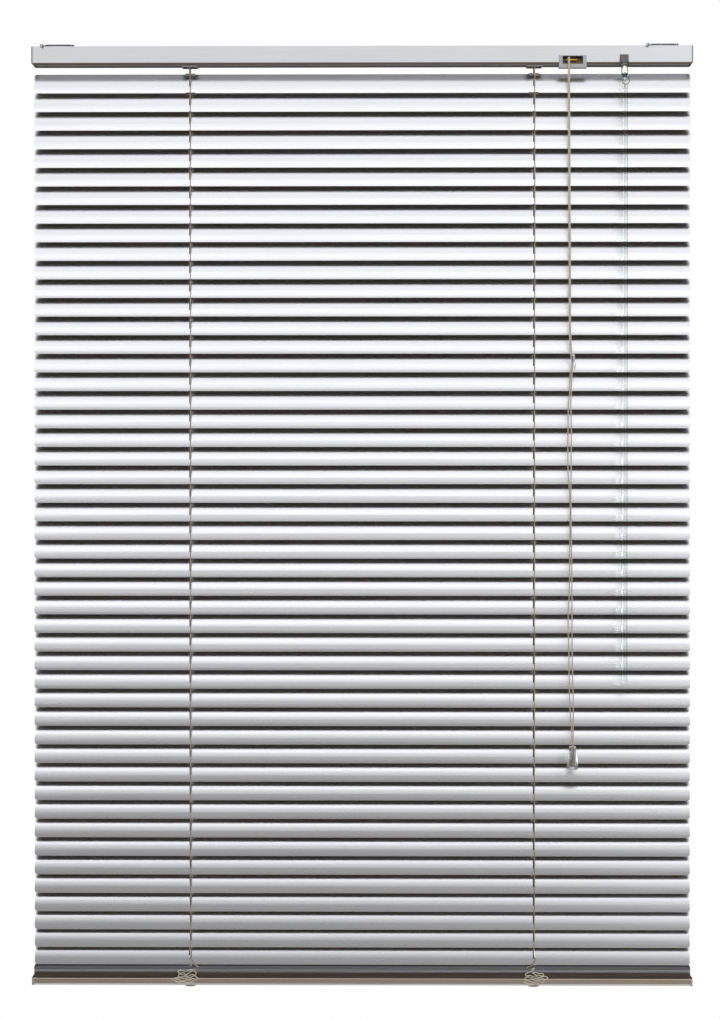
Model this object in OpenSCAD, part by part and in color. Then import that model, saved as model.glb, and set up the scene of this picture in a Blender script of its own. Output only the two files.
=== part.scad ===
// Venetian blind with 25 mm aluminium slats, closed with the front edges down.
// X runs along the headrail, Y runs from the room to the window, Z is up.
// The origin is midway between the two bracket screw holes, on the brackets' top faces.

/* [Headrail] */
// Length of the headrail over its end caps
rail_len = 800; // [780:10:1000]
// Depth of the headrail from front to back
rail_depth = 25; // [25:0.5:28]
// Height of the headrail
rail_height = 23; // [23:0.5:26]
// Sheet thickness of the headrail
rail_wall = 0.8; // [0.5:0.1:1]
// Width of the two lips that turn in along the open top
rail_lip = 3; // [2:0.5:4]
// Outer radius of the headrail's two lower corners
rail_corner = 3; // [2:0.5:4]
// Length of each headrail end cap beyond the channel
end_cap = 5; // [4.6:0.1:6]
// Radius of an end cap's outer lower corner
cap_round = 4.5; // [3:0.1:4.6]

/* [Slats] */
// Number of slats that hang open on the ladders
slat_count = 48; // [48:1:48]
// Length of each slat
slat_len = 796; // [740:2:798]
// Width of each slat, measured straight across its curve
slat_width = 25; // [24:0.5:26]
// Height of the curve across a slat
slat_crown = 2.3; // [1.8:0.1:2.6]
// Thickness of the slat sheet
slat_t = 0.3; // [0.2:0.05:0.4]
// Radius of a slat's corners
slat_corner = 3.5; // [1:0.5:5]
// Distance from one slat to the next
slat_pitch = 22.6; // [22.2:0.1:23]
// Height from the headrail's top down to the middle of the first slat
first_slat = 42.9; // [42.5:0.1:50]
// Height by which the last slat hangs over its even place, over the pile
slat_sink = 3.4; // [2:0.1:4]
// Angle of the closed slats from level, front edge down
slat_tilt = 67.5; // [50:0.5:69]
// Length of a route hole across the slat
route_len = 10.5; // [10.5:0.5:14]
// Width of a route hole along the slat
route_w = 3.2; // [3.2:0.1:4.5]
// Height of a slat's turning line over its two edges
pivot_rise = 1.2; // [1:0.1:1.4]

/* [Surplus slats] */
// Number of slats left lying on the bottom rail
surplus_count = 8; // [4:1:9]
// Height that each lying slat adds to the pile
surplus_pitch = 1.54; // [1.2:0.02:1.6]

/* [Ladders] */
// Distance of each ladder from the middle of the blind
ladder_x = 208.7; // [180:0.1:212]
// Radius of a ladder cord
ladder_r = 0.5; // [0.3:0.05:0.5]
// Radius of the rung thread under a slat
rung_r = 0.25; // [0.15:0.05:0.3]
// Space between a slat's edge and the ladder cord's centre
ladder_gap = 2.3; // [2.3:0.1:3]
// Radius of the lift cords and the pull cords
lift_r = 0.7; // [0.5:0.05:0.75]
// Distance of a lift cord to the left of its ladder
lift_offset = 0.5; // [0.45:0.05:0.6]

/* [Tilt rod] */
// Width of the six-sided tilt rod across its corners
rod_w = 6; // [5:0.1:6]
// Depth of the rod's centre under the headrail's top
rod_drop = 11; // [11:0.1:11.4]
// Radius of a ladder drum where the cords lie
drum_r = 6.5; // [6:0.1:6.6]
// Length of a ladder drum between its flanges
drum_len = 12; // [8:0.5:14]
// Radius of the drum's bearing journals
journal_r = 4; // [3.6:0.1:4.4]
// Radial running clearance of each bearing
run_clear = 0.05; // [0.03:0.01:0.1]

/* [Tilter] */
// Distance of the tilter from the headrail's right end
tilter_inset = 83.2; // [70:0.2:100]
// Slant of the worm away from upright
worm_slant = 25; // [22:0.5:27]
// Outer radius of the worm
worm_r = 2.4; // [2:0.1:2.5]
// Outer radius of the worm wheel
wheel_r = 4.9; // [4.4:0.1:5]
// Number of teeth on the worm wheel
wheel_teeth = 12; // [10:1:16]
// Clearance between the worm and the wheel
mesh_gap = 0.3; // [0.2:0.05:0.4]
// Radius of the clear sleeve at the end of the worm shaft
sleeve_r = 4; // [3.4:0.1:4.4]
// Length of that sleeve
sleeve_len = 17; // [12:0.5:20]

/* [Wand] */
// Outer radius of the wand
wand_r = 3.5; // [2.8:0.1:4]
// Length of the wand
wand_len = 722; // [400:2:900]
// Bore radius of the wand
wand_bore = 0.75; // [0.6:0.05:1.5]
// Wire radius of the wand's hook
hook_wire = 0.55; // [0.4:0.05:0.6]
// Radius of the hook's bend
hook_r = 4.4; // [4.2:0.1:5]

/* [Cord lock] */
// Distance of the cord lock from the headrail's right end
lock_inset = 145.3; // [138:0.1:160]
// Width of the cord lock
lock_w = 33.5; // [30:0.5:36]
// Radius of the brass roller
roller_r = 2; // [1.6:0.1:2.1]
// Length of the brass roller
roller_len = 13; // [8:0.5:16]

/* [Tassel] */
// Radius of the tassel at its top
tassel_top_r = 4.2; // [3:0.1:5]
// Radius of the tassel at its mouth
tassel_mouth_r = 7.4; // [6:0.1:7.4]
// Height of the tassel
tassel_h = 28; // [22:0.5:34]
// Wall of the tassel
tassel_wall = 1.2; // [0.8:0.1:1.6]

/* [Bottom rail] */
// Depth of the bottom rail
bottom_depth = 25; // [24:0.5:25.4]
// Height of the bottom rail
bottom_height = 9.3; // [8.6:0.1:10.5]
// Wall of the bottom rail
bottom_wall = 0.8; // [0.6:0.1:1]
// Radius of the bottom rail's corners
bottom_corner = 2.2; // [1:0.1:2.6]
// Depth of the long grooves in the bottom rail's faces
groove_depth = 0.4; // [0.2:0.05:0.5]
// Radius of the bottom rail's cord plugs
plug_r = 6.25; // [5.4:0.05:7]

/* [Brackets] */
// Distance of each bracket's middle from the headrail's end
bracket_inset = 34; // [25:1:60]
// Width of a bracket
bracket_w = 34; // [28:1:40]
// Sheet thickness of a bracket
bracket_t = 1.2; // [1:0.1:1.4]
// Radius of a bracket's screw hole
screw_r = 2.2; // [1.8:0.1:2.6]
// Outer radius of the curl at the end of a bracket's lever
curl_r = 2.1; // [1.6:0.1:2.2]

/* [Hidden] */
function slat_name(i) = str(i < 10 ? "slat_0" : "slat_", i);

$fn = 48;
eps = 0.01;
seat = 0.3;
lever_t = 1;
rail_top = -bracket_t - lever_t - 0.2;
rail_bottom = rail_top - rail_height;
rail_floor = rail_bottom + rail_wall;
front = -rail_depth / 2;
rail_inner = rail_depth / 2 - rail_wall;
tilter_x = rail_len / 2 - tilter_inset;
lock_x = rail_len / 2 - lock_inset;
bracket_x = rail_len / 2 - bracket_inset;
flat_floor = 2 * (rail_depth / 2 - rail_corner);
channel_len = rail_len - 2 * end_cap;
cap_top = 1.5;
steel = [0.77, 0.77, 0.79];
silver = [0.86, 0.87, 0.9];
dark = [0.25, 0.25, 0.26];
clear = [0.85, 0.88, 0.88, 0.45];
cord_colour = [0.66, 0.62, 0.54];
brass = [0.72, 0.52, 0.2];

// Slat curve and the places of the slats
slat_half = slat_width / 2;
slat_radius = (slat_half * slat_half + slat_crown * slat_crown) / (2 * slat_crown);
edge_slope = asin(slat_half / slat_radius);
sinking = 4;
function slat_z(i) = rail_top - first_slat - (i - 1) * slat_pitch
    + slat_sink * pow(max(0, i - slat_count + sinking) / sinking, 2);

// Places where the ladder cords hold a slat, measured from the slat's turning line
hold_u = slat_half + ladder_gap;
hold_w = -pivot_rise + 0.3;
front_y = -hold_u * cos(slat_tilt) - hold_w * sin(slat_tilt);
front_dz = -hold_u * sin(slat_tilt) + hold_w * cos(slat_tilt);
rear_y = hold_u * cos(slat_tilt) - hold_w * sin(slat_tilt);
rear_dz = hold_u * sin(slat_tilt) + hold_w * cos(slat_tilt);

// The ladder cords and rungs stand beside the lift cords
string_x = lift_r - lift_offset + rung_r + 0.2;

// Pile of surplus slats and the bottom rail under it
last_edge = slat_z(slat_count) - slat_half * sin(slat_tilt) - pivot_rise;
pile_top = last_edge - 0.1;
pile_height = (surplus_count - 1) * surplus_pitch + slat_crown + slat_t + seat / 2;
bottom_top = pile_top - pile_height;
bottom_z = bottom_top - bottom_height;
outer_y = bottom_depth / 2 + ladder_r + 0.4;
plug_drop = 2.4;
bottom_cap = 1.2;
cap_rim = 0.35;
knot_h = 2.4;
bunch_h = 17;
bunch_drop = 3;

// Tilt rod, drums and cradles
rod_z = rail_top - rod_drop;
rod_len = rail_len - 100;
flange_t = 1;
flange_r = drum_r + 0.7;
ear_t = 2;
ear_x = drum_len / 2 + flange_t + 0.5 + ear_t / 2;
journal_len = ear_t + 1.5;
lead_y = drum_r + ladder_r + 0.3;
cradle_base = 1.2;
mouth_x = 8;
mouth_y = lead_y + ladder_r + 0.4;
mouth_wall = 1.2;
mouth_drop = 1.6;
cord_run_z = rail_floor + 2.4;
cord_run_y = -4;

// Tilter: the worm passes in front of the rod on a slanted line
worm_dist = worm_r + wheel_r + mesh_gap;
worm_len = 7;
worm_start = -2.5;
journal_start = worm_start + worm_len;
stem_r = 3;
nose_start = 7;
nose_len = 8;
nose_half = 4.5;
nose_w = 10;
sleeve_start = nose_start + nose_len + 0.5;
sleeve_end = sleeve_start + sleeve_len;
neck_r = 0.8;
ball_r = 1.8;
ring_at = sleeve_end + 2.4;
ball_at = ring_at + 2.8;
hook_ring_r = 2.05;
hook_y = -worm_dist * cos(worm_slant) - ring_at * sin(worm_slant);
hook_z = rod_z + worm_dist * sin(worm_slant) - ring_at * cos(worm_slant);
hook_drop = 2 * hook_r;
hook_x = 1.2;
wand_top = hook_z - hook_drop - 1;

// Cord lock
lock_top = rail_top - 11.9;
lock_bottom = rail_bottom - 4.1;
lock_face = 1.2;
lock_cheek = 2;
lock_back = 1.5;
roller_y = -10;
roller_z = rail_top - 17.2;
window_top = lock_top - 0.9;
window_bottom = rail_bottom + 0.6;
pin_r = 0.8;

// Route of the two pull cords, from the lock down to the tassel
route_x = 254.7;
function beside_lock(route) = [for (p = route) p + [lock_x - route_x, 0, 0]];
near_cord = beside_lock([[250, -10, -16.4], [250, -13.4, -17], [250, -15, -20], [250, -15.3, -28],
    [250, -15.5, -60], [250.4, -16, -140], [251, -17, -270], [251.4, -17.6, -350], [252.8, -17.8, -374]]);
knot_at = [lock_x - 0.3, -17.8, -380];
left_strand = beside_lock([
    [253.6, -17.8, -386], [251.8, -18, -397], [250.8, -18, -421], [249.6, -18, -434],
    [249, -18.2, -460], [249, -18.4, -517], [250.2, -18.6, -534], [251.4, -18.8, -554],
    [251.4, -19, -585], [251, -19.2, -626], [250.6, -19.4, -660], [249.2, -19.6, -694],
    [250, -19.8, -735], [251.4, -20.4, -803], [253.2, -20.8, -826], [253.6, -21, -842],
    [253.6, -21, -866]]);
right_strand = beside_lock([
    [255, -18.2, -386], [253.6, -19.8, -397], [252.6, -19.8, -421], [252.2, -19.8, -434],
    [252.8, -19.8, -460], [252.6, -20, -517], [252.4, -20.2, -534], [252.4, -20.4, -554],
    [252.6, -20.6, -585], [253.4, -20.8, -626], [253.6, -21, -660], [253.8, -21.2, -694],
    [253.9, -21.4, -735], [255.4, -21.4, -803], [255.2, -21.2, -826], [255.2, -21, -842],
    [255.2, -21, -866]]);
tassel_x = lock_x - 0.3;
tassel_y = -21;
tassel_top = -848.4;

module along_x(len) {
    rotate([90, 0, 90]) linear_extrude(len, center = true) children();
}

module both_sides() {
    for (side = [-1, 1]) translate([side * ladder_x, 0, 0]) children();
}

// A rectangle with four round corners, from its lower edge up
module rounded(w, h, r) {
    translate([-w / 2 + r, 0]) square([w - 2 * r, h]);
    translate([-w / 2, r]) square([w, h - 2 * r]);
    for (x = [-w / 2 + r, w / 2 - r], y = [r, h - r]) translate([x, y]) circle(r);
}

module headrail_outline(w, h, r) {
    difference() {
        rounded(w, h + r, r);
        translate([-w, h]) square([2 * w, 2 * r]);
    }
}

module headrail() {
    color(steel) difference() {
        translate([0, 0, rail_bottom]) along_x(channel_len) difference() {
            headrail_outline(rail_depth, rail_height, rail_corner);
            translate([0, rail_wall])
                headrail_outline(2 * rail_inner, rail_height - 2 * rail_wall, rail_corner - rail_wall);
            translate([-rail_depth / 2 + rail_lip, rail_height / 2])
                square([rail_depth - 2 * rail_lip, rail_height]);
        }
        both_sides() cube_at(mouth_x * 2 + 2 * mouth_wall + 0.4, 2 * (mouth_y + mouth_wall + 0.2),
            rail_bottom - 1, rail_floor + 1);
        translate([tilter_x, -rail_depth / 2 + 3.5, 0])
            cube_at(nose_w + 0.8, 8, rail_bottom - 1, rail_top - 10.9);
        translate([lock_x, -rail_depth / 2 + 3.5, 0])
            cube_at(lock_w - 4, 8, rail_bottom - 1, lock_top - 0.8);
    }
}

// A box centred on X and Y between two heights
module cube_at(w, d, z0, z1) {
    translate([-w / 2, -d / 2, z0]) cube([w, d, z1 - z0]);
}

module headrail_fittings() {
    color(steel) end_caps();
    color(dark) both_sides() cradle();
    color(dark) tilter_housing();
    color(clear) cord_lock();
    color(brass) translate([lock_x - 1.2, roller_y, roller_z]) rotate([0, 90, 0])
        cylinder(h = roller_len, r = roller_r, center = true);
}

module end_caps() {
    for (side = [-1, 1]) {
        intersection() {
            translate([side * (rail_len - end_cap) / 2, 0, rail_bottom]) along_x(end_cap)
                headrail_outline(rail_depth, rail_height, rail_corner);
            scale([side, 1, 1]) rotate([90, 0, 0]) linear_extrude(2 * rail_depth, center = true) cap_side();
        }
        translate([side * (channel_len / 2 - 3), 0, rail_floor + 0.4]) along_x(6) difference() {
            headrail_outline(2 * rail_inner - 0.4, rail_height - 2 * rail_wall - 0.8, rail_corner - 1);
            translate([0, 1.2]) headrail_outline(2 * rail_inner - 2.8,
                rail_height - 2 * rail_wall - 3.2, rail_corner - 1.4);
        }
    }
}

// Front view of the right end cap, with its outer corners rounded
module cap_side() {
    translate([channel_len / 2 - 1, rail_bottom + cap_round])
        square([end_cap + 1, rail_height - cap_round - cap_top]);
    translate([channel_len / 2 - 1, rail_bottom]) square([end_cap + 1 - cap_round, rail_height]);
    translate([rail_len / 2 - cap_round, rail_bottom + cap_round]) circle(cap_round);
    translate([rail_len / 2 - cap_round - 1, rail_top - 2 * cap_top])
        square([cap_round + 1 - cap_top, 2 * cap_top]);
    translate([rail_len / 2 - cap_top, rail_top - cap_top]) circle(cap_top);
}

// Saddle that carries a ladder drum on two ears, with a mouth through the headrail's floor
module cradle() {
    difference() {
        union() {
            cube_at(2 * ear_x + ear_t, flat_floor, rail_floor, rail_floor + cradle_base);
            cube_at(2 * mouth_x + 2 * mouth_wall, 2 * (mouth_y + mouth_wall), rail_bottom - mouth_drop,
                rail_floor + cradle_base);
        }
        cube_at(2 * mouth_x, 2 * mouth_y, rail_bottom - mouth_drop - 1, rail_floor + cradle_base + 1);
    }
    translate([lift_offset + 1.4, 0, rail_floor + 0.3]) rotate([90, 0, 0])
        cylinder(h = 2 * mouth_y + 1, r = 1.1, center = true);
    for (side = [-1, 1]) translate([side * ear_x, 0, 0]) difference() {
        cube_at(ear_t, flat_floor, rail_floor + eps, rod_z + journal_r + 2);
        translate([0, 0, rod_z]) rotate([0, 90, 0])
            cylinder(h = ear_t + 1, r = journal_r + run_clear, center = true);
        translate([0, cord_run_y / 2, 0])
            cube_at(ear_t + 1, abs(cord_run_y) + 4 * lift_r,
                rail_floor + cradle_base - 0.4, cord_run_z + 2 * lift_r);
    }
}

module tilter_housing() {
    difference() {
        translate([tilter_x, 0, 0]) union() {
            translate([0, 0, rail_floor]) along_x(18)
                headrail_outline(2 * rail_inner - 2 * seat, rail_height - 4.2,
                    rail_corner - rail_wall - seat);
            worm_line() translate([-nose_w / 2, -nose_half, -nose_start - nose_len])
                cube([nose_w, 2 * nose_half, nose_len]);
        }
        translate([tilter_x, 0.4, 0]) cube_at(14, 2 * rail_inner - 4, rail_floor + 1.4, rail_top - 4.8);
        translate([tilter_x, 0, rod_z]) rotate([0, 90, 0])
            cylinder(h = 30, r = journal_r + run_clear, center = true);
        translate([tilter_x, 0, 0]) worm_line() translate([0, 0, -nose_start - nose_len - 1])
            cylinder(h = nose_len + nose_start + 4, r = stem_r + run_clear);
    }
}

// Moves children onto the worm's slanted line, with their -Z along it outwards
module worm_line() {
    translate([0, 0, rod_z]) rotate([-worm_slant, 0, 0]) translate([0, -worm_dist, 0]) children();
}

module cord_lock() {
    translate([lock_x, 0, 0]) difference() {
        union() {
            cube_between(lock_w, front - lock_face, front - eps, lock_bottom, lock_top);
            cube_between(lock_w, front - lock_face, front + 7, lock_bottom, rail_bottom - eps);
            cube_between(lock_w - 5, front - eps, front + 7, rail_bottom - 1, lock_top - 1.2);
            cube_between(lock_w - 5, front + rail_wall + 0.2, front + 7, rail_bottom, lock_top + 0.8);
        }
        cube_between(lock_w - 5 - 2 * lock_cheek, front - 3, front + 7 - lock_back,
            window_bottom, window_top);
        cube_between(lock_w - 5 - 2 * lock_cheek, front + 1.5, front + 8, roller_z + 0.6, window_top);
        cube_between(lock_w - 8, front + 0.6, front + 8, lock_bottom + 1.2, rail_bottom - 1.2);
    }
    translate([lock_x, roller_y, roller_z]) rotate([0, 90, 0]) difference() {
        cylinder(h = lock_w - 6, r = pin_r, center = true);
        translate([0, 0, -1.2]) cylinder(h = roller_len + 0.2, r = 2 * pin_r, center = true);
    }
}

module cube_between(w, y0, y1, z0, z1) {
    translate([-w / 2, y0, z0]) cube([w, y1 - y0, z1 - z0]);
}

// Top clips that grip the headrail's lips, each with a lever that ends in a curl
module mounting_brackets() {
    for (side = [-1, 1]) translate([side * bracket_x, 0, 0]) {
        color(steel) difference() {
            translate([0, 0, -bracket_t]) linear_extrude(bracket_t) rounded_centre(bracket_w, 22, 4);
            translate([0, 0, -bracket_t - 1]) cylinder(h = bracket_t + 2, r = screw_r);
        }
        color(steel) for (edge = [-1, 1]) translate([0, edge * (rail_depth / 2 - rail_lip - 1), 0])
            clip_foot(edge);
        color(steel) lever();
    }
}

module rounded_centre(w, h, r) {
    translate([0, -h / 2]) rounded(w, h, r);
}

// Foot that passes between the lips and turns out under one of them
module clip_foot(edge) {
    foot_top = rail_top - rail_wall - seat;
    cube_at(12, bracket_t, foot_top - 1, -bracket_t + eps);
    translate([0, edge * 0.8, 0]) cube_at(12, bracket_t + 1.6, foot_top - 1, foot_top);
}

module lever() {
    translate([0, 0, -bracket_t - 0.1 - lever_t]) linear_extrude(lever_t) difference() {
        union() {
            circle(7);
            translate([-21, -rail_depth / 2 - 1.5]) square([5, 8]);
            translate([-17, -6]) rotate(-24) square([14, 5]);
        }
        circle(screw_r + 1.4);
    }
    translate([-21, front - 2.3, -curl_r - 0.1]) rotate([90, 0, 0]) difference() {
        cylinder(h = 2.4, r = curl_r, center = true);
        cylinder(h = 3, r = curl_r - 0.8, center = true);
    }
}

module tilt_rod() {
    color(steel) translate([0, 0, rod_z]) rotate([0, 90, 0])
        cylinder(h = rod_len, r = rod_w / 2, center = true, $fn = 6);
    color(dark) both_sides() translate([0, 0, rod_z]) drum();
    color(dark) translate([tilter_x, 0, rod_z]) rotate([0, 90, 0]) worm_wheel();
}

module rod_hole() {
    cylinder(h = 60, r = rod_w / 2 + 0.06, center = true, $fn = 6);
}

// Drum that winds the ladder cords, with a flange and a journal at each end
module drum() {
    rotate([0, 90, 0]) difference() {
        union() {
            cylinder(h = drum_len + 2 * flange_t, r = drum_r, center = true);
            for (side = [-1, 1]) translate([0, 0, side * (drum_len + flange_t) / 2])
                cylinder(h = flange_t, r = flange_r, center = true);
            cylinder(h = drum_len + 2 * flange_t + 2 * journal_len, r = journal_r, center = true);
        }
        rod_hole();
    }
}

module worm_wheel() {
    difference() {
        union() {
            cylinder(h = 5, r = wheel_r - 1, center = true);
            for (i = [0 : wheel_teeth - 1]) rotate(i * 360 / wheel_teeth)
                translate([wheel_r / 2, 0, 0]) cube([wheel_r - 0.1, 0.9, 5], center = true);
            cylinder(h = 17.6, r = journal_r, center = true);
        }
        rod_hole();
    }
}

module tilter_stem() {
    color(clear) translate([tilter_x, 0, 0]) worm_line() rotate_extrude() polygon(concat([[0, -worm_start]],
        [for (t = [0 : 1 : worm_len - 1]) each [[worm_r - 0.8, -worm_start - t],
            [worm_r, -worm_start - t - 0.25], [worm_r, -worm_start - t - 0.5],
            [worm_r - 0.8, -worm_start - t - 0.75]]],
        [[worm_r - 0.8, -journal_start], [stem_r, -journal_start], [stem_r, -sleeve_start],
        [sleeve_r, -sleeve_start], [sleeve_r, -sleeve_end + 1], [sleeve_r - 1, -sleeve_end],
        [neck_r, -sleeve_end], [neck_r, -ball_at], [0, -ball_at]]));
    color(clear) translate([tilter_x, 0, 0]) worm_line() translate([0, 0, -ball_at]) sphere(ball_r);
}

module wand() {
    color("silver") translate([tilter_x, hook_y, hook_z]) {
        ring(hook_ring_r, hook_wire);
        translate([hook_x, 0, -hook_r]) rotate([90, 0, 0]) rotate(-180)
            rotate_extrude(angle = 255) translate([hook_r, 0]) circle(hook_wire, $fn = 32);
        translate([0, 0, -hook_drop - 5]) cylinder(h = 5, r = hook_wire);
    }
    color(clear) translate([tilter_x, hook_y, wand_top]) difference() {
        union() {
            translate([0, 0, -wand_len + wand_r]) cylinder(h = wand_len - wand_r, r = wand_r);
            translate([0, 0, -wand_len + wand_r]) sphere(wand_r);
        }
        translate([0, 0, -wand_len + 2 * wand_r]) cylinder(h = wand_len, r = wand_bore);
    }
}

module ring(r, wire) {
    rotate_extrude() translate([r, 0]) circle(wire, $fn = 32);
}

// Two cords run from the bottom rail up through the slats and along the headrail to the lock
module lift_cords() {
    knot_z = bottom_z + bottom_wall + 1;
    end_z = knot_z + knot_h + 0.05;
    left_end = near_cord[0] + [-0.8, 0.6, -0.2];
    right_end = near_cord[0] + [0.8, 0.6, -0.2];
    color(cord_colour) {
        swept([[-ladder_x - lift_offset, 0, end_z], [-ladder_x - lift_offset, 0, cord_run_z - 1],
            [-ladder_x - lift_offset + 1, 0, cord_run_z], [-ladder_x + 20, cord_run_y, cord_run_z],
            [ladder_x + 14, cord_run_y, cord_run_z], [lock_x - 24, cord_run_y, cord_run_z],
            left_end + [-3.2, 6, -1], left_end], lift_r, [0.2, 0.5, -1]);
        swept([[ladder_x - lift_offset, 0, end_z], [ladder_x - lift_offset, 0, cord_run_z - 1],
            [ladder_x - lift_offset + 1, 0, cord_run_z], [ladder_x + 22, 0, cord_run_z],
            right_end + [-3.2, 7.5, -1], right_end], lift_r, [0.2, 0.5, -1]);
        both_sides() translate([-lift_offset, 0, knot_z]) cylinder(h = knot_h, r = 1.6);
    }
}

// The slack of a ladder cord is bunched in front of the bottom rail
module ladder_front_cords() {
    color(cord_colour) both_sides() {
        swept([[0, -lead_y, rod_z], [0, -lead_y, rail_bottom - mouth_drop - 1],
            [string_x, front_y, slat_z(1) + front_dz], [string_x, front_y, last_edge + 6],
            [string_x, -outer_y, pile_top - 1],
            [string_x, -outer_y, pile_top - bunch_drop + 0.05]], ladder_r);
        translate([0, -outer_y + ladder_r, pile_top - bunch_drop - bunch_h / 2]) rotate([90, 0, 0])
            linear_extrude(2.4) rounded_centre(30, bunch_h, 6.5);
    }
}

module ladder_rear_cords() {
    color(cord_colour) both_sides() swept([[0, lead_y, rod_z], [0, lead_y, rail_bottom - mouth_drop - 1],
        [string_x, rear_y, slat_z(1) + rear_dz + 2], [string_x, rear_y, slat_z(slat_count) + rear_dz],
        [string_x, outer_y, pile_top + 2], [string_x, outer_y, bottom_z + bottom_corner]], ladder_r);
}

// Outline of a slat seen from above, with its corners rounded and its two route holes cut
module slat_plan() {
    difference() {
        rounded_centre(slat_len, slat_width, slat_corner);
        both_sides() {
            square([route_w, route_len - route_w], center = true);
            for (end = [-1, 1]) translate([0, end * (route_len - route_w) / 2]) circle(route_w / 2);
        }
    }
}

// One curved slat, its two edges at height 0
module slat_sheet() {
    intersection() {
        translate([0, 0, slat_crown - slat_radius]) along_x(slat_len) difference() {
            circle(slat_radius + slat_t, $fn = 180);
            circle(slat_radius, $fn = 180);
        }
        translate([0, 0, -1]) linear_extrude(slat_crown + slat_t + 2) slat_plan();
    }
}

// A hung slat with the rung threads that carry it
module slat(i) {
    translate([0, 0, slat_z(i)]) rotate([slat_tilt, 0, 0]) translate([0, 0, -pivot_rise]) {
        color(silver) slat_sheet();
        color(cord_colour) both_sides() translate([string_x, 0, -rung_r - seat]) rotate([90, 0, 0])
            cylinder(h = slat_width - 4.4, r = rung_r, center = true);
        if (i <= 2) color(dark) both_sides() edge_clips();
    }
}

// Small clips on the rear edge of the first two slats, either side of the ladder cord
module edge_clips() {
    for (side = [-1, 1]) translate([side * 3.8, slat_half, slat_t / 2]) rotate([-edge_slope, 0, 0])
        difference() {
            translate([-2.2, -2.2, -0.9]) cube([4.4, 3.2, 1.8]);
            translate([-3, -3, -slat_t / 2 - 0.12]) cube([6, 3.3, slat_t + 0.24]);
        }
}

module bottom_rail() {
    color(silver) for (i = [0 : surplus_count - 1])
        translate([0, 0, bottom_top + seat / 2 + i * surplus_pitch]) slat_sheet();
    color(steel) difference() {
        translate([0, 0, bottom_z]) along_x(slat_len) difference() {
            bottom_outline();
            translate([0, bottom_wall]) rounded(bottom_depth - 2 * bottom_wall - 2 * groove_depth,
                bottom_height - 2 * bottom_wall, bottom_corner - bottom_wall);
        }
        both_sides() {
            translate([0, 0, bottom_z - 1]) cylinder(h = 2, r = plug_r - 2);
            translate([-lift_offset, 0, bottom_top - 2]) cylinder(h = 3, r = lift_r + 0.4);
        }
    }
    color(steel) for (side = [-1, 1])
        translate([side * (slat_len / 2 + bottom_cap + 0.05), 0, bottom_z - cap_rim]) along_x(2 * bottom_cap)
            rounded(bottom_depth + 2 * cap_rim, bottom_height + cap_rim, bottom_corner);
    color(dark) both_sides() translate([0, 0, bottom_z]) cord_plug();
}

module bottom_outline() {
    difference() {
        rounded(bottom_depth, bottom_height, bottom_corner);
        for (side = [-1, 1], z = [0.3, 0.68])
            translate([side * bottom_depth / 2, z * bottom_height])
                square([2 * groove_depth, 1.3], center = true);
    }
}

// Plug under the bottom rail that closes over the cord's knot
module cord_plug() {
    difference() {
        union() {
            translate([0, 0, -plug_drop]) cylinder(h = plug_drop, r = plug_r);
            cylinder(h = bottom_wall + 1, r = plug_r - 2.1);
        }
        cylinder(h = bottom_height, r = plug_r - 3.3);
    }
}

// Cords swept along a route with eight flat sides
module swept(route, r, across = [1, 0, 0], sides = 8) {
    n = len(route);
    rings = [for (i = [0 : n - 1]) let (
        d = route[min(i + 1, n - 1)] - route[max(i - 1, 0)],
        t = d / norm(d), u = cross(t, across) / norm(cross(t, across)), v = cross(t, u))
        for (k = [0 : sides - 1]) route[i] + r * (cos(k * 360 / sides) * u + sin(k * 360 / sides) * v)];
    walls = [for (i = [0 : n - 2], k = [0 : sides - 1])
        let (a = i * sides + k, b = i * sides + (k + 1) % sides) [a, a + sides, b + sides, b]];
    polyhedron(rings, concat([[for (k = [0 : sides - 1]) k]], walls,
        [[for (k = [sides - 1 : -1 : 0]) (n - 1) * sides + k]]));
}

module pull_cord() {
    color(cord_colour) {
        swept(near_cord, 1.1);
        swept(left_strand, lift_r);
        swept(right_strand, lift_r);
    }
}

// Joiner on the pull cords, the tassel and the knot inside it
module tassel() {
    color(clear) translate(knot_at) difference() {
        cylinder(h = 10, r = 2.6, center = true);
        cylinder(h = 11, r = 1, center = true);
    }
    color(clear) translate([tassel_x, tassel_y, tassel_top - tassel_h]) rotate_extrude()
        polygon([[1.9, tassel_h], [tassel_top_r, tassel_h], [tassel_mouth_r, 0],
            [tassel_mouth_r - tassel_wall, 0], [tassel_top_r - tassel_wall, tassel_h - 2],
            [1.9, tassel_h - 2]]);
    color(cord_colour) translate([tassel_x, tassel_y, tassel_top - tassel_h / 2 - 6]) sphere(2.4);
}

headrail();
headrail_fittings();
mounting_brackets();
tilt_rod();
tilter_stem();
wand();
lift_cords();
ladder_front_cords();
ladder_rear_cords();
bottom_rail();
pull_cord();
tassel();
for (i = [1 : slat_count]) {
    slat(i);
}
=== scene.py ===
"""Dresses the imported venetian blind: materials, ladder and pull cords, tassel, light and camera."""

import math
import random

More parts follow.
